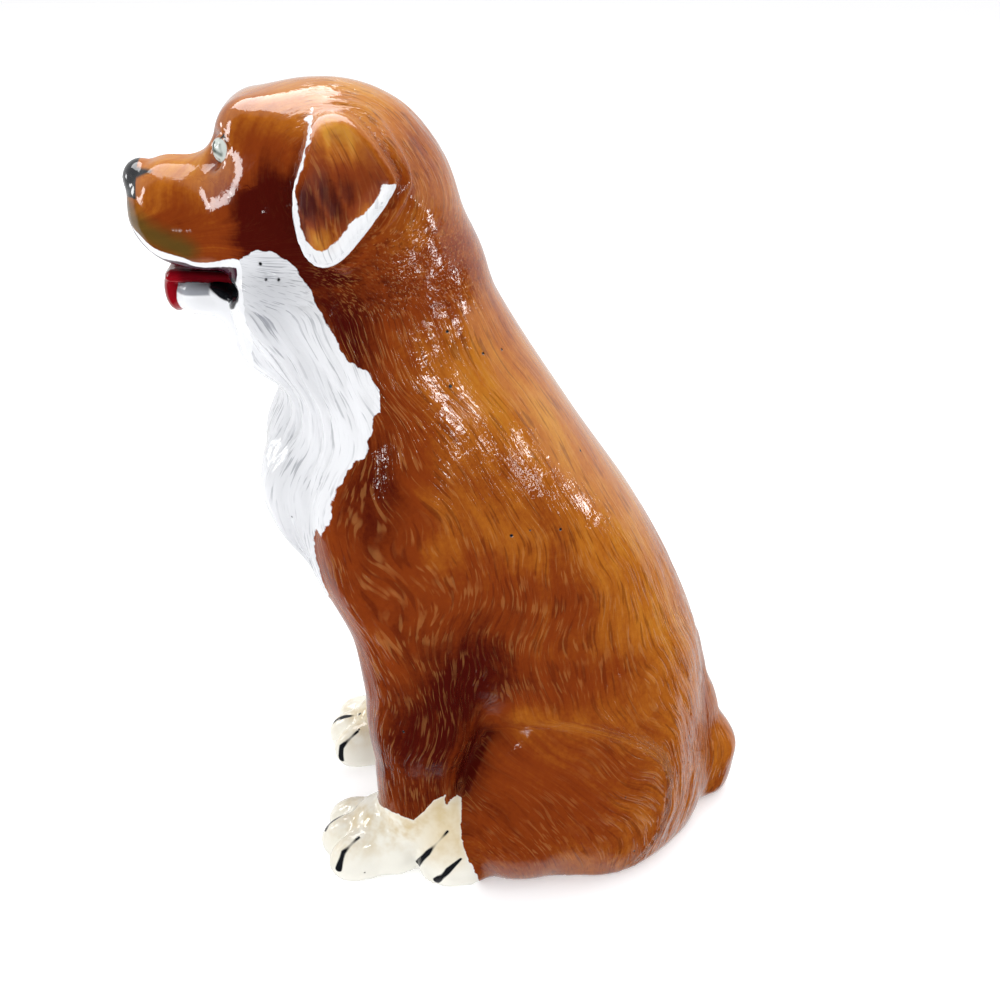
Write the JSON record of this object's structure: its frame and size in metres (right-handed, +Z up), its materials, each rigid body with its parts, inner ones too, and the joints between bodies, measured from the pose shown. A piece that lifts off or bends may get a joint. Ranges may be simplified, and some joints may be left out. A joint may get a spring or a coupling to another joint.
{
  "type": "puppy figurine",
  "caption": "Seated puppy figurine cast as one piece, hand painted and glazed: head up, tongue out, hanging ears, tail laid round its side; it stands on its flat underside.",
  "frame": {"origin": "centre of the figurine's outline on its flat underside", "axes": "+Z up, nose toward -Y, the dog's left side toward +X"},
  "size_m": [0.0818, 0.153, 0.2],
  "materials": {
    "painted_glaze": "hand painted ochre brown coat with white bib and paws under a glossy clear varnish"
  },
  "bodies": {
    "root": {"puppy_figurine": "painted_glaze"}
  },
  "joints": []
}
